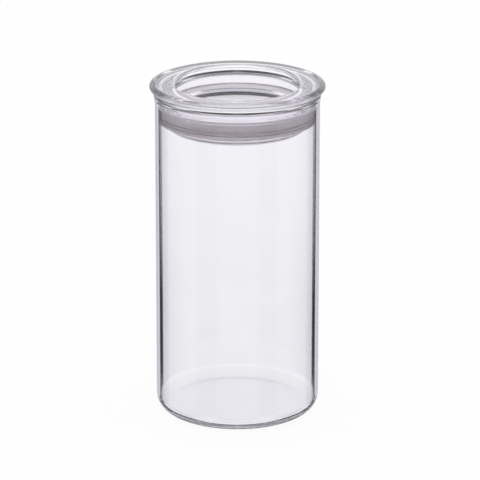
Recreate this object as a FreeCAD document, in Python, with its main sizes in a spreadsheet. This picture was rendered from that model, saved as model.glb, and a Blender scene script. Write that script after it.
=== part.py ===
import FreeCAD, Part
import math
import os
import Sketcher

# Lidded glass canister: a straight glass jar, a thick glass stopper lid and its sealing ring.
# Each piece is turned about the upright axis. The origin is the middle of the jar's underside.

doc = FreeCAD.newDocument("canister")
sheet = doc.addObject("Spreadsheet::Sheet", "Sizes")

driving_sizes = [
    ("jar_diameter", "80", "outside of the jar's straight wall"),
    ("jar_height", "161.5", "underside to the crown of the rim"),
    ("jar_wall", "2", "thickness of the straight wall"),
    ("jar_floor", "3.2", "thickness of the floor"),
    ("foot_radius", "8.6", "rounding of the outer bottom corner"),
    ("floor_radius", "5", "rounding where the wall meets the floor inside"),
    ("rim_swell", "0.5", "how far the melted rim stands out past the wall"),
    ("rim_flat", "0.25", "flat left on the crown of the rim"),
    ("rim_band", "0.7", "upright band below the rounded crown"),
    ("rim_fade", "2.7", "height over which the swell fades into the wall"),
    ("rim_fade_radius", "3", "rounding at both ends of the fade"),
    ("seat_clearance", "0.25", "gap between the rim and the lid that rests on it"),
    ("seat_margin", "0.25", "how far the seat runs out past the middle of the rim"),
    ("seat_edge_radius", "0.5", "rounding of the seat's outer edge"),
    ("flange_overhang", "2.7", "how far the flange stands out past the jar"),
    ("undercut_rise", "3", "rise of the sloped finger undercut above the seat"),
    ("edge_land", "1.3", "upright land round the flange's edge"),
    ("edge_radius", "1.2", "rounding of the flange's edge"),
    ("shoulder_rise", "1.05", "fall of the flange's top towards its edge"),
    ("shoulder_width", "2", "width of that fall"),
    ("shoulder_radius", "4.5", "rounding where the fall begins"),
    ("plug_gap", "3.6", "space round the plug that the sealing ring fills"),
    ("plug_wall", "4.1", "thickness of the wall round the lid's recess"),
    ("plug_tip", "4.1", "length of the plug below the ring's groove"),
    ("plug_corner_radius", "3.9", "rounding of the plug's bottom corner"),
    ("neck_radius", "2.5", "rounding where the plug meets the seat"),
    ("lid_floor", "7.7", "thickness of the glass under the recess"),
    ("recess_lip_radius", "2.3", "rounding of the recess's mouth"),
    ("recess_floor_radius", "2.3", "rounding round the recess's floor"),
    ("gasket_drop", "4.85", "seat to the top of the sealing ring"),
    ("gasket_height", "8.3", "height of the sealing ring"),
    ("gasket_clearance", "0.25", "gap between the ring's lips and the jar's bore"),
    ("gasket_radius", "0.7", "rounding of the lips' outer edges"),
    ("groove_depth", "0.8", "depth of the ring's groove in the plug"),
    ("groove_clearance", "0.05", "gap between the ring and its groove"),
    ("rib_drop", "1.5", "ring's underside to the foot of its inner rib"),
    ("rib_slope", "3.5", "height of the rib's lower slope"),
    ("rib_roof", "1.5", "height of the rib's upper slope"),
    ("rib_depth", "2.2", "how far the rib reaches into the plug"),
    ("lip_height", "1.75", "height of the ring's lower lip"),
    ("notch_depth", "0.5", "depth of the two notches beside the ring's bead"),
    ("notch_height", "0.6", "height of a notch at its mouth"),
    ("bead_height", "0.9", "height of the bead between the notches"),
    ("bead_radius", "0.3", "rounding of the bead's edges"),
]

for row, (alias, number, meaning) in enumerate(driving_sizes, start=1):
    sheet.set(f"A{row}", meaning)
    sheet.set(f"B{row}", number)
    sheet.setAlias(f"B{row}", alias)
doc.recompute()

# Radii and heights that several pieces share, worked out from the driving sizes.
jar_radius = "Sizes.jar_diameter / 2"
bore_radius = f"{jar_radius} - Sizes.jar_wall"
rim_width = "(Sizes.jar_wall + Sizes.rim_swell)"
seat_height = "Sizes.jar_height + Sizes.seat_clearance"
plug_radius = f"{bore_radius} - Sizes.plug_gap"
gasket_top = f"{seat_height} - Sizes.gasket_drop"
gasket_bottom = f"{gasket_top} - Sizes.gasket_height"
groove_bottom = f"{gasket_bottom} - Sizes.groove_clearance"
plug_bottom = f"{groove_bottom} - Sizes.plug_tip"
groove_radius = f"{plug_radius} - Sizes.groove_depth"
rib_bottom = f"{gasket_bottom} + Sizes.rib_drop"
rib_middle = f"{rib_bottom} + Sizes.rib_slope"
rib_top = f"{rib_middle} + Sizes.rib_roof"


def vector_of(sketch, corner):
    x = float(sketch.evalExpression(corner["x"]))
    y = float(sketch.evalExpression(corner["y"]))
    return FreeCAD.Vector(x, y, 0)


def corner_trim(before, at, after, radius):
    """Give how far a rounding reaches along both sides of a corner, and which way it turns."""
    into = (at - before).normalize()
    out = (after - at).normalize()
    turn = math.atan2(into.x * out.y - into.y * out.x, into.dot(out))
    return radius * math.tan(abs(turn) / 2), turn


def rounding_arc(before, at, after, radius):
    reach, turn = corner_trim(before, at, after, radius)
    into = (at - before).normalize()
    side = math.copysign(1, turn)
    start = at - into * reach
    centre = start + FreeCAD.Vector(-into.y, into.x, 0) * radius * side
    first = math.atan2(start.y - centre.y, start.x - centre.x)
    low, high = sorted((first, first + turn))
    circle = Part.Circle(centre, FreeCAD.Vector(0, 0, 1), radius)
    return Part.ArcOfCircle(circle, low, high), turn > 0


def place_point(sketch, geometry, end, corner):
    """Hold one point of a sketch at its corner's distance from the axis and from the underside."""
    origin, across, upright = -1, -1, -2
    for key, kind, axis in (("x", "DistanceX", upright), ("y", "DistanceY", across)):
        if corner[key] == "0":
            sketch.addConstraint(Sketcher.Constraint("PointOnObject", geometry, end, axis))
            continue
        distance = float(sketch.evalExpression(corner[key]))
        held = sketch.addConstraint(Sketcher.Constraint(kind, origin, 1, geometry, end, distance))
        sketch.setExpression(f"Constraints[{held}]", corner[key])


def draw_outline(sketch, corners):
    """Draw a closed outline through the corners, with an arc at each corner that has a radius."""
    points = [vector_of(sketch, corner) for corner in corners]
    count = len(corners)
    radii = [float(sketch.evalExpression(corner["round"])) for corner in corners]
    trims = []
    for i in range(count):
        trims.append(corner_trim(points[i - 1], points[i], points[(i + 1) % count], radii[i])[0])
    sides = []
    for i in range(count):
        start, end = points[i], points[(i + 1) % count]
        along = (end - start).normalize()
        line = Part.LineSegment(start + along * trims[i], end - along * trims[(i + 1) % count])
        sides.append(sketch.addGeometry(line, False))
    for i, corner in enumerate(corners):
        arriving, leaving = sides[i - 1], sides[i]
        if corner["round"] == "0":
            sketch.addConstraint(Sketcher.Constraint("Coincident", arriving, 2, leaving, 1))
            place_point(sketch, leaving, 1, corner)
            continue
        arc, leftward = rounding_arc(points[i - 1], points[i], points[(i + 1) % count], radii[i])
        bend = sketch.addGeometry(arc, False)
        first, last = (1, 2) if leftward else (2, 1)
        sketch.addConstraint(Sketcher.Constraint("Tangent", arriving, 2, bend, first))
        sketch.addConstraint(Sketcher.Constraint("Tangent", bend, last, leaving, 1))
        held = sketch.addConstraint(Sketcher.Constraint("Radius", bend, radii[i]))
        sketch.setExpression(f"Constraints[{held}]", corner["round"])
        mark = sketch.addGeometry(Part.Point(points[i]), True)
        sketch.addConstraint(Sketcher.Constraint("PointOnObject", mark, 1, arriving))
        sketch.addConstraint(Sketcher.Constraint("PointOnObject", mark, 1, leaving))
        place_point(sketch, mark, 1, corner)


def at(x, y, rounding="0"):
    return {"x": x, "y": y, "round": rounding}


def turned_piece(label, corners):
    """Turn an outline of radius against height about the upright axis."""
    body = doc.addObject("PartDesign::Body", label)
    body.Label = label
    body.Placement = FreeCAD.Placement()
    sketch = body.newObject("Sketcher::SketchObject", f"{label}_outline")
    planes = {feature.Role: feature for feature in body.Origin.OriginFeatures}
    sketch.AttachmentSupport = [(planes["XZ_Plane"], "")]
    sketch.MapMode = "FlatFace"
    draw_outline(sketch, corners)
    turned = body.newObject("PartDesign::Revolution", f"{label}_turned")
    turned.Profile = sketch
    turned.ReferenceAxis = (sketch, ["V_Axis"])
    turned.Angle = 360
    body.Tip = turned
    return body


def make_jar():
    crown_rounding = f"({rim_width} - Sizes.rim_flat) / 2"
    swollen_radius = f"{jar_radius} + Sizes.rim_swell"
    band_bottom = f"Sizes.jar_height - {crown_rounding} - Sizes.rim_band"
    return turned_piece("jar", [
        at("0", "0"),
        at(jar_radius, "0", "Sizes.foot_radius"),
        at(jar_radius, f"{band_bottom} - Sizes.rim_fade", "Sizes.rim_fade_radius"),
        at(swollen_radius, band_bottom, "Sizes.rim_fade_radius"),
        at(swollen_radius, "Sizes.jar_height", crown_rounding),
        at(bore_radius, "Sizes.jar_height", crown_rounding),
        at(bore_radius, "Sizes.jar_floor", "Sizes.floor_radius"),
        at("0", "Sizes.jar_floor"),
    ])


def make_lid():
    groove_top = f"{gasket_top} + Sizes.groove_clearance"
    seat_edge = f"{bore_radius} + {rim_width} / 2 + Sizes.seat_margin"
    flange_radius = f"{jar_radius} + Sizes.flange_overhang"
    edge_bottom = f"{seat_height} + Sizes.undercut_rise"
    edge_top = f"{edge_bottom} + Sizes.edge_land"
    lid_top = f"{edge_top} + Sizes.shoulder_rise"
    recess_radius = f"{plug_radius} - Sizes.plug_wall"
    recess_floor = f"{plug_bottom} + Sizes.lid_floor"
    return turned_piece("lid", [
        at("0", plug_bottom),
        at(plug_radius, plug_bottom, "Sizes.plug_corner_radius"),
        at(plug_radius, groove_bottom),
        at(groove_radius, groove_bottom),
        at(groove_radius, rib_bottom),
        at(f"{groove_radius} - Sizes.rib_depth", rib_middle),
        at(groove_radius, rib_top),
        at(groove_radius, groove_top),
        at(plug_radius, groove_top),
        at(plug_radius, seat_height, "Sizes.neck_radius"),
        at(seat_edge, seat_height, "Sizes.seat_edge_radius"),
        at(flange_radius, edge_bottom, "Sizes.edge_radius"),
        at(flange_radius, edge_top, "Sizes.edge_radius"),
        at(f"{flange_radius} - Sizes.shoulder_width", lid_top, "Sizes.shoulder_radius"),
        at(recess_radius, lid_top, "Sizes.recess_lip_radius"),
        at(recess_radius, recess_floor, "Sizes.recess_floor_radius"),
        at("0", recess_floor),
    ])


def make_gasket():
    inner_radius = f"{groove_radius} + Sizes.groove_clearance"
    outer_radius = f"{bore_radius} - Sizes.gasket_clearance"
    notch_radius = f"{outer_radius} - Sizes.notch_depth"
    lip_top = f"{gasket_bottom} + Sizes.lip_height"
    bead_bottom = f"{lip_top} + Sizes.notch_height"
    bead_top = f"{bead_bottom} + Sizes.bead_height"
    upper_lip = f"{bead_top} + Sizes.notch_height"
    return turned_piece("gasket", [
        at(inner_radius, gasket_bottom),
        at(outer_radius, gasket_bottom, "Sizes.gasket_radius"),
        at(outer_radius, lip_top),
        at(notch_radius, f"{lip_top} + Sizes.notch_height / 2"),
        at(outer_radius, bead_bottom, "Sizes.bead_radius"),
        at(outer_radius, bead_top, "Sizes.bead_radius"),
        at(notch_radius, f"{bead_top} + Sizes.notch_height / 2"),
        at(outer_radius, upper_lip),
        at(outer_radius, gasket_top, "Sizes.gasket_radius"),
        at(inner_radius, gasket_top),
        at(inner_radius, rib_top),
        at(f"{inner_radius} - Sizes.rib_depth", rib_middle),
        at(inner_radius, rib_bottom),
    ])


pieces = [make_jar(), make_lid(), make_gasket()]
doc.recompute()

for item in doc.Objects:
    if "Invalid" in item.State or "Error" in item.State:
        raise RuntimeError(f"{item.Label} could not be worked out: {item.State}")

for piece in pieces:
    if piece.Shape.isNull() or not piece.Shape.isValid():
        raise RuntimeError(f"{piece.Label} has no valid solid")

os.makedirs("parts", exist_ok=True)
for piece in pieces:
    piece.Shape.exportStep(f"parts/{piece.Label}.step")
    box = piece.Shape.optimalBoundingBox()
    volume = piece.Shape.Volume / 1000
    print(f"{piece.Label}: {volume:.1f} ml, {box.XLength:.2f} wide, {box.ZMin:.2f} to {box.ZMax:.2f} high")
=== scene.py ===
import math
import bpy
from mathutils import Matrix, Vector


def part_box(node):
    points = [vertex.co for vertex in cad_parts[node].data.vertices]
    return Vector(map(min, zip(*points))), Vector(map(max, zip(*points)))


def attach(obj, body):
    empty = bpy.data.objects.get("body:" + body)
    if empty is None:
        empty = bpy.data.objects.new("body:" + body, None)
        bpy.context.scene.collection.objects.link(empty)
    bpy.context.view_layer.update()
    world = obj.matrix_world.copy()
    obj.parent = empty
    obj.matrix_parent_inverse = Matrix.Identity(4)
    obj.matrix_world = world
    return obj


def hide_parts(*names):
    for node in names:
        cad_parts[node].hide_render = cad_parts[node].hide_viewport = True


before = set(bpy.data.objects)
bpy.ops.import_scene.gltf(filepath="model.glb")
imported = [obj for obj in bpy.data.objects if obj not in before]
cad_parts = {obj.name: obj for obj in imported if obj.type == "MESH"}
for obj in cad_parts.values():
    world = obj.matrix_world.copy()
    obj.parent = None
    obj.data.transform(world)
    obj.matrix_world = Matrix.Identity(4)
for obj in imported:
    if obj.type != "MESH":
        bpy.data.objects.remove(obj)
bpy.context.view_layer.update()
print("frame loaded:", ", ".join(sorted(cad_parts)))

mm = 0.001


# shader sockets as numbers

class Sock:
    def __init__(self, tree, socket):
        self.tree = tree
        self.socket = socket

    def combine(self, operation, first, second):
        return addNode(self.tree, "ShaderNodeMath", {"operation": operation}, {0: first, 1: second})

    def __add__(self, other):
        return self.combine("ADD", self, other)

    def __radd__(self, other):
        return self.combine("ADD", other, self)

    def __sub__(self, other):
        return self.combine("SUBTRACT", self, other)

    def __rsub__(self, other):
        return self.combine("SUBTRACT", other, self)

    def __mul__(self, other):
        return self.combine("MULTIPLY", self, other)

    def __rmul__(self, other):
        return self.combine("MULTIPLY", other, self)

    def __mod__(self, other):
        return self.combine("FLOORED_MODULO", self, other)

    def __rmod__(self, other):
        return self.combine("FLOORED_MODULO", other, self)

    def __lt__(self, other):
        return self.combine("LESS_THAN", self, other)

    def __gt__(self, other):
        return self.combine("GREATER_THAN", self, other)


def addNode(tree, kind, settings=None, inputs=None, output=0):
    node = tree.nodes.new(kind)
    for name, value in (settings or {}).items():
        if name == "stops":
            fillRamp(node.color_ramp, value)
        else:
            setattr(node, name, value)
    for name, value in (inputs or {}).items():
        if isinstance(value, Sock):
            tree.links.new(value.socket, node.inputs[name])
        else:
            node.inputs[name].default_value = value
    return Sock(tree, node.outputs[output]) if node.outputs else None


def fillRamp(ramp, stops):
    while len(ramp.elements) > 1:
        ramp.elements.remove(ramp.elements[-1])
    for i, (position, shade) in enumerate(stops):
        element = ramp.elements[0] if i == 0 else ramp.elements.new(position)
        element.position = position
        element.color = (*shade, 1)


def mixColour(tree, share, first, second):
    return addNode(tree, "ShaderNodeMix", {"data_type": "RGBA"}, {0: share, 6: first, 7: second}, output=2)


def addNoise(tree, place, scale, detail):
    return addNode(tree, "ShaderNodeTexNoise", {}, {"Vector": place, "Scale": scale, "Detail": detail})


def smoothStep(value, start, end):
    return addNode(value.tree, "ShaderNodeMapRange", {"interpolation_type": "SMOOTHSTEP"},
                   {"Value": value, 1: start, 2: end})


def newMaterial(name):
    material = bpy.data.materials.new(name)
    material.use_nodes = True
    material.node_tree.nodes.clear()
    return material, material.node_tree


# turned pieces

def roundedOutline(corners, closed=False):
    # corners are (radius, height, rounding); every rounding is an arc tangent to both sides
    arcStep = math.radians(4)
    holdGap = 0.12 * mm    # a ring close to each arc's end keeps the flat stretch flat
    points = []
    count = len(corners)
    for i, (x, z, rounding) in enumerate(corners):
        here = Vector((x, 0, z))
        if rounding == 0:
            points.append(here)
            continue
        into = (here - Vector((corners[i - 1][0], 0, corners[i - 1][1]))).normalized()
        after = corners[(i + 1) % count]
        out = (Vector((after[0], 0, after[1])) - here).normalized()
        turn = math.atan2(into.x * out.z - into.z * out.x, into.dot(out))
        reach = rounding * math.tan(abs(turn) / 2)
        start = here - into * reach
        side = math.copysign(1, turn)
        centre = start + Vector((-into.z, 0, into.x)) * rounding * side
        spoke = start - centre
        points.append(start - into * holdGap)
        steps = max(3, math.ceil(abs(turn) / arcStep))
        for k in range(steps + 1):
            angle = turn * k / steps
            points.append(centre + Matrix.Rotation(-angle, 3, "Y") @ spoke)
        points.append(here + out * (reach + holdGap))
    if closed:
        points.append(points[0].copy())
    return points


def turnOutline(name, points, steps):
    bpy.ops.object.select_all(action="DESELECT")
    bpy.ops.mesh.primitive_plane_add(size=mm, location=points[0])
    piece = bpy.context.object
    piece.name = name
    bpy.ops.object.mode_set(mode="EDIT")
    bpy.ops.mesh.select_all(action="SELECT")
    bpy.ops.mesh.merge(type="CENTER")
    for before, after in zip(points, points[1:]):
        bpy.ops.mesh.extrude_region_move(TRANSFORM_OT_translate={"value": after - before})
    bpy.ops.mesh.select_all(action="SELECT")
    bpy.ops.mesh.spin(steps=steps, angle=2 * math.pi, center=(0, 0, 0), axis=(0, 0, 1))
    bpy.ops.mesh.select_all(action="SELECT")
    bpy.ops.mesh.remove_doubles(threshold=0.002 * mm)
    bpy.ops.mesh.normals_make_consistent(inside=False)
    bpy.ops.object.mode_set(mode="OBJECT")
    bpy.ops.object.transform_apply(location=True, rotation=True, scale=True)
    bpy.ops.object.shade_smooth_by_angle(angle=math.radians(35))
    return piece


# glass

glass = {
    "ior": 1.47, "cordStretch": (1, 1, 0.25), "cordScale": 45.0,
    "hazeScale": 60.0, "hazeRange": (0.45, 0.8), "hazeRoughness": 0.004,
    "deepTint": 0.985, "tintRange": (0.35, 0.65),
}


def glassMaterial(name, tint, waviness, bore=None):
    material, tree = newMaterial(name)
    place = addNode(tree, "ShaderNodeTexCoord", output="Object")
    cords = addNode(tree, "ShaderNodeMapping", {}, {"Vector": place, "Scale": glass["cordStretch"]})
    drift = addNoise(tree, cords, glass["cordScale"], 2.0)
    bump = addNode(tree, "ShaderNodeBump", {}, {"Height": drift, "Strength": waviness, "Distance": mm})
    haze = addNoise(tree, place, glass["hazeScale"], 4.0)
    clear, hazy = glass["hazeRange"]
    roughness = addNode(tree, "ShaderNodeMapRange", {}, {
        "Value": haze, 1: clear, 2: hazy, 3: 0.0, 4: glass["hazeRoughness"]})
    deep = tuple(c * glass["deepTint"] for c in tint)
    stops = list(zip(glass["tintRange"], (deep, tint)))
    colour = addNode(tree, "ShaderNodeValToRGB", {"stops": stops}, {"Fac": haze})
    if bore:
        # painted shade along both sides of the bore
        colour = paintedBoreShade(tree, place, colour, bore)
    shader = addNode(tree, "ShaderNodeBsdfPrincipled", {}, {
        "Base Color": colour, "Roughness": roughness, "Normal": bump,
        "IOR": glass["ior"], "Transmission Weight": 1.0})
    addNode(tree, "ShaderNodeOutputMaterial", {}, {"Surface": shader})
    return material


def paintedBoreShade(tree, place, colour, bore):
    # painted shade: the glass colour is darkened where the bore is seen at a grazing angle, a soft painted
    # shade low down and a painted dark line on both sides
    x, y, z = (addNode(tree, "ShaderNodeSeparateXYZ", {}, {0: place}, output=axis) for axis in "XYZ")
    radius = addNode(tree, "ShaderNodeMath", {"operation": "SQRT"}, {0: x * x + y * y})
    inside = (radius < bore["radius"]) * (z > bore["bottom"])
    facing = addNode(tree, "ShaderNodeLayerWeight", {}, {"Blend": 0.5}, output="Facing")
    for edge in bore["edges"]:
        grazing = smoothStep(facing, *edge["facing"])
        top, full = edge["height"]
        depth = addNode(tree, "ShaderNodeMapRange", {}, {"Value": z, 1: top, 2: full})
        colour = mixColour(tree, grazing * depth * inside, colour, edge["shade"])
    return colour


turnSteps = 192

# jar

jar = {
    "radius": 40 * mm, "wall": 2 * mm, "floor": 3.2 * mm,
    "footRadius": 8.6 * mm, "floorRadius": 5 * mm,
    "rimSwell": 0.5 * mm, "rimFlat": 0.25 * mm, "rimBand": 0.7 * mm,
    "rimFade": 2.7 * mm, "rimFadeRadius": 3 * mm,
    "tint": (0.98, 0.975, 0.995), "waviness": 0.005,
    # bore: painted shade on the jar glass, a soft darkening low down and a dark line where the bore is seen
    # at a grazing angle
    "bore": {"radius": 39 * mm, "bottom": 10 * mm, "edges": [
        {"facing": (0.2, 0.66), "height": (105 * mm, 55 * mm), "shade": (0.84, 0.84, 0.86, 1)},
        {"facing": (0.735, 0.785), "height": (200 * mm, 60 * mm), "shade": (0.004, 0.004, 0.005, 1)}]},
}


def makeJar():
    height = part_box("jar")[1][2]
    bore = jar["radius"] - jar["wall"]
    swollen = jar["radius"] + jar["rimSwell"]
    crown = (jar["wall"] + jar["rimSwell"] - jar["rimFlat"]) / 2
    bandBottom = height - crown - jar["rimBand"]
    piece = turnOutline("glassJar", roundedOutline([
        (0, 0, 0),
        (jar["radius"], 0, jar["footRadius"]),
        (jar["radius"], bandBottom - jar["rimFade"], jar["rimFadeRadius"]),
        (swollen, bandBottom, jar["rimFadeRadius"]),
        (swollen, height, crown),
        (bore, height, crown),
        (bore, jar["floor"], jar["floorRadius"]),
        (0, jar["floor"], 0),
    ]), turnSteps)
    piece.data.materials.append(glassMaterial("jarGlass", jar["tint"], jar["waviness"], jar["bore"]))
    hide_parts("jar")
    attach(piece, "jar")
    return piece


# lid

lid = {
    "seatEdge": 39.5 * mm, "seatEdgeRadius": 0.5 * mm, "undercutRise": 3 * mm,
    "flangeRadius": 42.7 * mm, "edgeLand": 1.3 * mm, "edgeRadius": 1.2 * mm,
    "shoulderRise": 1.05 * mm, "shoulderWidth": 2 * mm, "shoulderRadius": 4.5 * mm,
    "plugRadius": 34.4 * mm, "plugCorner": 3.9 * mm, "plugTip": 4.1 * mm, "neckRadius": 2.5 * mm,
    "grooveDepth": 0.8 * mm, "grooveHeight": 8.4 * mm, "grooveGap": 0.05 * mm,
    "ribDrop": 1.5 * mm, "ribSlope": 3.5 * mm, "ribRoof": 1.5 * mm, "ribDepth": 2.2 * mm,
    "recessRadius": 30.3 * mm, "lipRadius": 2.3 * mm, "recessFloorRadius": 2.3 * mm, "floor": 7.7 * mm,
    "tint": (0.98, 0.971, 0.994), "waviness": 0.003,
}


def makeLid():
    low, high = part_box("lid")
    bottom, top = low[2], high[2]
    edgeTop = top - lid["shoulderRise"]
    edgeBottom = edgeTop - lid["edgeLand"]
    seat = edgeBottom - lid["undercutRise"]
    grooveBottom = bottom + lid["plugTip"]
    grooveTop = grooveBottom + lid["grooveHeight"]
    grooveRadius = lid["plugRadius"] - lid["grooveDepth"]
    ribBottom = grooveBottom + lid["grooveGap"] + lid["ribDrop"]
    ribMiddle = ribBottom + lid["ribSlope"]
    piece = turnOutline("glassLid", roundedOutline([
        (0, bottom, 0),
        (lid["plugRadius"], bottom, lid["plugCorner"]),
        (lid["plugRadius"], grooveBottom, 0),
        (grooveRadius, grooveBottom, 0),
        (grooveRadius, ribBottom, 0),
        (grooveRadius - lid["ribDepth"], ribMiddle, 0),
        (grooveRadius, ribMiddle + lid["ribRoof"], 0),
        (grooveRadius, grooveTop, 0),
        (lid["plugRadius"], grooveTop, 0),
        (lid["plugRadius"], seat, lid["neckRadius"]),
        (lid["seatEdge"], seat, lid["seatEdgeRadius"]),
        (lid["flangeRadius"], edgeBottom, lid["edgeRadius"]),
        (lid["flangeRadius"], edgeTop, lid["edgeRadius"]),
        (lid["flangeRadius"] - lid["shoulderWidth"], top, lid["shoulderRadius"]),
        (lid["recessRadius"], top, lid["lipRadius"]),
        (lid["recessRadius"], bottom + lid["floor"], lid["recessFloorRadius"]),
        (0, bottom + lid["floor"], 0),
    ]), turnSteps)
    piece.data.materials.append(glassMaterial("lidGlass", lid["tint"], lid["waviness"]))
    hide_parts("lid")
    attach(piece, "lid")
    return piece


# sealing ring

ring = {
    "inner": 33.65 * mm, "outer": 37.75 * mm, "edgeRadius": 0.7 * mm,
    "lipHeight": 1.75 * mm, "notchDepth": 0.5 * mm, "notchHeight": 0.6 * mm,
    "beadHeight": 0.9 * mm, "beadRadius": 0.3 * mm,
    # the dark tint is painted shade for the two notches beside the bead
    "tints": {"lip": (1.0, 0.96, 0.97), "paintedNotchShade": (0.46, 0.43, 0.44),
              "bead": (1.0, 0.93, 0.92), "web": (1.0, 0.95, 0.95)},
    # share of the height at which each tint starts or ends
    "bands": [(0.19, "lip"), (0.215, "paintedNotchShade"), (0.25, "paintedNotchShade"), (0.275, "bead"), (0.37, "bead"),
              (0.395, "paintedNotchShade"), (0.46, "paintedNotchShade"), (0.5, "web"), (0.6, "web"), (0.65, "lip")],
    "cloudScale": 90.0, "cloudShare": 0.12, "cloudTint": (1.0, 0.96, 0.95, 1),
    "grainScale": 1400.0, "grainStrength": 0.08, "grainDepth": 0.05 * mm,
    "roughness": (0.25, 0.36), "ior": 1.41, "clearness": 0.8,
}


def siliconeMaterial(name, bottom, top):
    # nearly clear, with painted shade: a dark line painted into the notch on either side of the bead
    material, tree = newMaterial(name)
    place = addNode(tree, "ShaderNodeTexCoord", output="Object")
    height = addNode(tree, "ShaderNodeSeparateXYZ", {}, {0: place}, output="Z")
    level = addNode(tree, "ShaderNodeMapRange", {}, {"Value": height, 1: bottom, 2: top})
    stops = [(start, ring["tints"][band]) for start, band in ring["bands"]]
    bands = addNode(tree, "ShaderNodeValToRGB", {"stops": stops}, {"Fac": level})
    cloud = addNoise(tree, place, ring["cloudScale"], 3.0)
    colour = mixColour(tree, cloud * ring["cloudShare"], bands, ring["cloudTint"])
    smooth, rough = ring["roughness"]
    roughness = addNode(tree, "ShaderNodeMapRange", {}, {"Value": cloud, 3: smooth, 4: rough})
    grain = addNoise(tree, place, ring["grainScale"], 2.0)
    bump = addNode(tree, "ShaderNodeBump", {}, {
        "Height": grain, "Strength": ring["grainStrength"], "Distance": ring["grainDepth"]})
    shader = addNode(tree, "ShaderNodeBsdfPrincipled", {}, {
        "Base Color": colour, "Roughness": roughness, "Normal": bump,
        "IOR": ring["ior"], "Transmission Weight": ring["clearness"]})
    addNode(tree, "ShaderNodeOutputMaterial", {}, {"Surface": shader})
    return material


def makeRing():
    low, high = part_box("gasket")
    bottom, top = low[2], high[2]
    ribBottom = bottom + lid["ribDrop"]
    ribMiddle = ribBottom + lid["ribSlope"]
    lipTop = bottom + ring["lipHeight"]
    beadBottom = lipTop + ring["notchHeight"]
    beadTop = beadBottom + ring["beadHeight"]
    notch = ring["outer"] - ring["notchDepth"]
    piece = turnOutline("sealingRing", roundedOutline([
        (ring["inner"], bottom, 0),
        (ring["outer"], bottom, ring["edgeRadius"]),
        (ring["outer"], lipTop, 0),
        (notch, lipTop + ring["notchHeight"] / 2, 0),
        (ring["outer"], beadBottom, ring["beadRadius"]),
        (ring["outer"], beadTop, ring["beadRadius"]),
        (notch, beadTop + ring["notchHeight"] / 2, 0),
        (ring["outer"], beadTop + ring["notchHeight"], 0),
        (ring["outer"], top, ring["edgeRadius"]),
        (ring["inner"], top, 0),
        (ring["inner"], ribMiddle + lid["ribRoof"], 0),
        (ring["inner"] - lid["ribDepth"], ribMiddle, 0),
        (ring["inner"], ribBottom, 0),
    ], closed=True), turnSteps)
    piece.data.materials.append(siliconeMaterial("ringSilicone", bottom, top))
    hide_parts("gasket")
    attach(piece, "gasket")
    return piece


makeJar()
makeLid()
makeRing()
print("pieces turned")


# studio

studio = {
    "floorSize": 30.0, "floorDrop": 0.05 * mm, "floorShade": (0.9, 0.9, 0.9, 1),
    "shadowShare": 0.06, "roomLight": 1.0,
    "maxBounces": 100, "glassBounces": 96,
    "innerShade": (0.58, 0.575, 0.64, 1), "deepShade": (0.93, 0.91, 1.0, 1),
}

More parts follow.
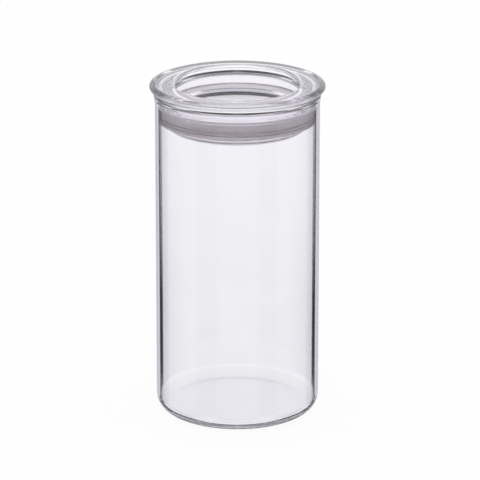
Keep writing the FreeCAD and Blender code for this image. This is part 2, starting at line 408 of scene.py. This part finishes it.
# Each card is a patch of the studio that glass picks up. rise and turn are its angles up from level and
# round from straight ahead, each as low, high and blur in degrees. A fold repeats the card round the
# canister, and a lean lifts it to both sides. bounces and crossings are the reflections and the glass
# surfaces that a ray has behind it, so that each card marks one kind of edge.
plain = (-0.5, 0.5)
single = (0.5, 1.5)
double = (1.5, 2.5)
several = (2.5, 99.5)
reflected = (0.5, 99.5)
outside = (-0.5, 0.5)
thin = (0.5, 2.5)
wall = (3.5, 4.5)
thick = (2.5, 99.5)
seal = (7.5, 9.5)
allRises = (-95, 95, 1)
dark = (0.02, 0.02, 0.024, 1)
cards = [
    # backdrop behind the jar, darker towards the table
    {"bounces": plain, "crossings": wall, "rise": (-60, -18.2, 3.2), "shade": (0.92, 0.92, 0.92, 1)},
    # table
    {"bounces": plain, "crossings": thick, "rise": (-95, -37, 12), "shade": (0.78, 0.78, 0.8, 1)},
    {"bounces": single, "crossings": thin, "rise": (-95, -26, 2), "shade": (0.92, 0.92, 0.96, 1)},
    {"bounces": (10.5, 99.5), "crossings": thin, "rise": allRises,
     "turn": (-1, 50, 8), "fold": 360, "shade": (0.12, 0.12, 0.13, 1)},
    {"bounces": several, "crossings": (0.5, 4.5), "rise": (30, 95, 5),
     "turn": (-1, 25, 5), "fold": 180, "shade": (0.2, 0.2, 0.22, 1)},
    {"bounces": single, "crossings": outside, "rise": (-60, -28, 4),
     "turn": (-1, 27, 4), "fold": 90, "shade": (0.05, 0.05, 0.06, 1)},
    # jar sides
    {"bounces": single, "crossings": outside, "rise": (-37, -6, 4), "shade": (0.55, 0.55, 0.59, 1)},
    {"bounces": single, "crossings": outside, "rise": (-37, -6, 4),
     "turn": (36, 48, 2), "fold": 360, "shade": (0.1, 0.1, 0.12, 1)},
    {"bounces": (2.5, 3.5), "crossings": thin, "rise": (-25, -6, 3),
     "turn": (25, 60, 1), "fold": 90, "shade": dark},
    {"bounces": single, "crossings": thin, "rise": (-25, -6, 3),
     "turn": (29.5, 60, 1), "fold": 90, "shade": dark},
    {"bounces": double, "crossings": (3.5, 5.5), "rise": (-37, -6, 4),
     "turn": (9, 60, 2), "fold": 45, "shade": dark},
    # foot
    {"bounces": single, "crossings": thin, "rise": (-54, -24, 1.5),
     "turn": (-1, 31.5, 2), "fold": 90, "shade": dark},
    # flange and lip
    {"bounces": single, "crossings": thin, "rise": (46, 57, 1.5),
     "turn": (-1, 30, 5), "fold": 180, "shade": (1, 1, 1, 1)},
    {"bounces": single, "crossings": thin, "rise": (29, 44, 1.5),
     "turn": (-1, 15, 2), "fold": 45, "shade": (0.04, 0.04, 0.05, 1)},
    {"bounces": plain, "crossings": thin, "rise": (12.6, 60, 0.4), "lean": 0.6,
     "turn": (-1, 15, 2), "fold": 45, "shade": (0.03, 0.03, 0.04, 1)},
    {"bounces": plain, "crossings": thin, "rise": (-8, -4.5, 0.8), "shade": (0.45, 0.44, 0.5, 1)},
    {"bounces": plain, "crossings": thin, "rise": (-54, -47, 1), "lean": 0.3,
     "turn": (-1, 50, 1), "fold": 90, "shade": (0.2, 0.2, 0.22, 1)},
    {"bounces": (4.5, 8.5), "crossings": thin, "rise": (-25, 25, 4),
     "turn": (-1, 58, 3), "fold": 360, "shade": dark},
    {"bounces": several, "crossings": thin, "rise": (-60, 60, 5),
     "turn": (29, 166, 4), "fold": 360, "shade": (0.02, 0.02, 0.03, 1)},
    {"bounces": double, "crossings": thin, "rise": (58, 95, 2), "shade": (0.25, 0.25, 0.28, 1)},
    {"bounces": double, "crossings": thin, "rise": (42, 53, 2),
     "turn": (-1, 24, 2), "fold": 90, "shade": dark},
    # neck, seal band and the lines in front of them
    {"bounces": reflected, "crossings": (9.5, 99.5), "rise": allRises, "shade": (1, 0.97, 0.98, 1)},
    {"bounces": reflected, "crossings": seal, "rise": (-95, -12, 4), "shade": (0.42, 0.41, 0.47, 1)},
    {"bounces": single, "crossings": (4.5, 7.5), "rise": allRises, "shade": (0.93, 0.93, 0.97, 1)},
    {"bounces": single, "crossings": seal, "rise": (-12, 95, 4), "shade": (0.93, 0.93, 0.97, 1)},
    {"bounces": (0.5, 2.5), "crossings": (2.5, 5.5), "rise": (-95, -30, 3),
     "turn": (60, 190, 5), "fold": 360, "shade": (0.01, 0.01, 0.01, 1)},
    {"bounces": plain, "crossings": (5.5, 6.5), "rise": (-37, -27, 1.5), "shade": (0.06, 0.06, 0.08, 1)},
    {"bounces": plain, "crossings": (4.5, 9.5), "rise": (3, 14, 1), "shade": (0.03, 0.03, 0.04, 1)},
]


def makeFloor():
    bpy.ops.object.select_all(action="DESELECT")
    bpy.ops.mesh.primitive_plane_add(size=studio["floorSize"], location=(0, 0, -studio["floorDrop"]))
    floor = bpy.context.object
    floor.name = "studioFloor"
    material, tree = newMaterial("floorPaper")
    path = addNode(tree, "ShaderNodeLightPath", output="Is Camera Ray")
    paper = addNode(tree, "ShaderNodeBsdfDiffuse", {}, {"Color": studio["floorShade"]})
    glow = addNode(tree, "ShaderNodeEmission", {}, {"Color": (1, 1, 1, 1), "Strength": 1.0})
    share = path * (1 - studio["shadowShare"])
    mix = addNode(tree, "ShaderNodeMixShader", {}, {0: share, 1: paper, 2: glow})
    addNode(tree, "ShaderNodeOutputMaterial", {}, {"Surface": mix})
    floor.data.materials.append(material)
    floor.visible_transmission = False
    floor.visible_glossy = False


def makeWorld():
    world = bpy.data.worlds.new("studio")
    bpy.context.scene.world = world
    world.use_nodes = True
    tree = world.node_tree
    tree.nodes.clear()

    def calc(operation, *values):
        return addNode(tree, "ShaderNodeMath", {"operation": operation}, dict(enumerate(values)))

    def band(value, low, high, blur):
        return smoothStep(value, low - blur, low + blur) - smoothStep(value, high - blur, high + blur)

    def between(value, low, high):
        return (value > low) * (value < high)

    direction = addNode(tree, "ShaderNodeTexCoord", output="Generated")
    x, y, z = (addNode(tree, "ShaderNodeSeparateXYZ", {}, {0: direction}, output=axis) for axis in "XYZ")
    turn = calc("ARCTAN2", x, y) * math.degrees(1)
    rise = calc("ARCSINE", z) * math.degrees(1)
    through = addNode(tree, "ShaderNodeLightPath", output="Is Transmission Ray")
    bounces = addNode(tree, "ShaderNodeLightPath", output="Glossy Depth")
    crossings = addNode(tree, "ShaderNodeLightPath", output="Transmission Depth")

    colour = mixColour(tree, between(bounces, *single) * through, (1, 1, 1, 1), studio["innerShade"])
    colour = mixColour(tree, (bounces > single[1]) * through, colour, studio["deepShade"])
    picked = calc("MAXIMUM", through, between(crossings, *outside))
    for card in cards:
        share = picked * between(bounces, *card["bounces"]) * between(crossings, *card["crossings"])
        level = rise
        if "turn" in card:
            half = card["fold"] / 2
            folded = calc("ABSOLUTE", (turn + half) % card["fold"] - half)
            share = share * band(folded, *card["turn"])
            if "lean" in card:
                level = rise - folded * card["lean"]
        share = share * band(level, *card["rise"])
        colour = mixColour(tree, share, colour, card["shade"])

    diffuse = addNode(tree, "ShaderNodeLightPath", output="Is Diffuse Ray")
    seen = addNode(tree, "ShaderNodeBackground", {}, {"Color": colour, "Strength": 1.0})
    lit = addNode(tree, "ShaderNodeBackground", {}, {"Color": (1, 1, 1, 1), "Strength": studio["roomLight"]})
    mix = addNode(tree, "ShaderNodeMixShader", {}, {0: diffuse, 1: seen, 2: lit})
    addNode(tree, "ShaderNodeOutputWorld", {}, {"Surface": mix})


view = {
    "target": 85.71 * mm, "distance": 1830.9 * mm, "pitch": math.radians(18.0),
    "lens": 279.8, "sensor": 36, "shiftX": 0.00537, "shiftY": 0.00405, "reach": 100,
}


def makeCamera():
    back = view["distance"] * math.cos(view["pitch"])
    up = view["target"] + view["distance"] * math.sin(view["pitch"])
    bpy.ops.object.camera_add(location=(0, -back, up), rotation=(math.pi / 2 - view["pitch"], 0, 0))
    camera = bpy.context.object
    camera.data.lens = view["lens"]
    camera.data.sensor_width = view["sensor"]
    camera.data.shift_x = view["shiftX"]
    camera.data.shift_y = view["shiftY"]
    camera.data.clip_end = view["reach"]
    bpy.context.scene.camera = camera


makeFloor()
makeWorld()
makeCamera()
bpy.context.scene.view_settings.view_transform = "Standard"
# thick glass passes light on many times before it comes out
light = bpy.context.scene.cycles
light.max_bounces = studio["maxBounces"]
light.glossy_bounces = studio["glassBounces"]
light.transmission_bounces = studio["glassBounces"]
print("studio set")
